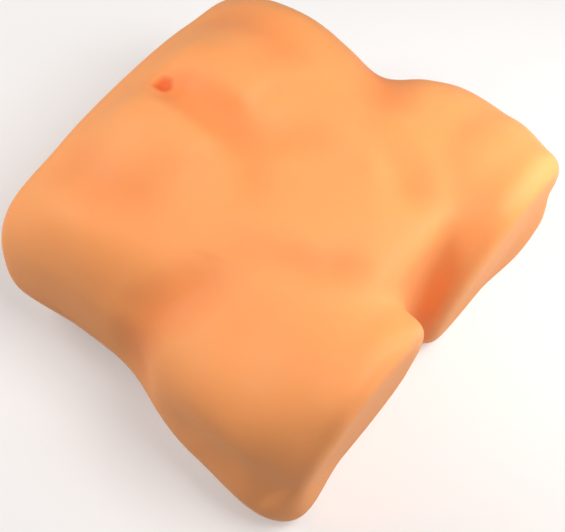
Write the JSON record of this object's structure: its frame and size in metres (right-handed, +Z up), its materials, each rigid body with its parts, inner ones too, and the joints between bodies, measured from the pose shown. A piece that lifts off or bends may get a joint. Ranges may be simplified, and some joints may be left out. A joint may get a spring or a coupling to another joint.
{
  "type": "torso mannequin",
  "caption": "Soft torso mannequin lying on its back: lower abdomen, hips and short thigh stumps, with a plain closed groin, in a cast skin over foam and a steel tee.",
  "frame": {"origin": "on the resting plane, under the middle of the overall box", "axes": "+Y to the head end, +X to the mannequin's own left, +Z up through the belly"},
  "size_m": [0.3536, 0.3131, 0.1924],
  "materials": {
    "skin": "soft satin elastomer, warm tan, slightly translucent",
    "foam": "matt rigid foam, cream",
    "steel_tube": "drawn tube, bright",
    "plug": "moulded nylon, black",
    "cast_clamp": "as cast, sandy",
    "fastener": "zinc plated"
  },
  "bodies": {
    "root": {"skin": "skin", "foam_core": "foam", "hip_tube": "steel_tube", "spine_tube": "steel_tube", "hip_plug_left": "plug", "hip_plug_right": "plug", "spine_plug": "plug", "clamp_front": "cast_clamp", "clamp_back": "cast_clamp", "clamp_bolts": "fastener", "clamp_washers": "fastener", "clamp_nuts": "fastener"}
  },
  "joints": []
}
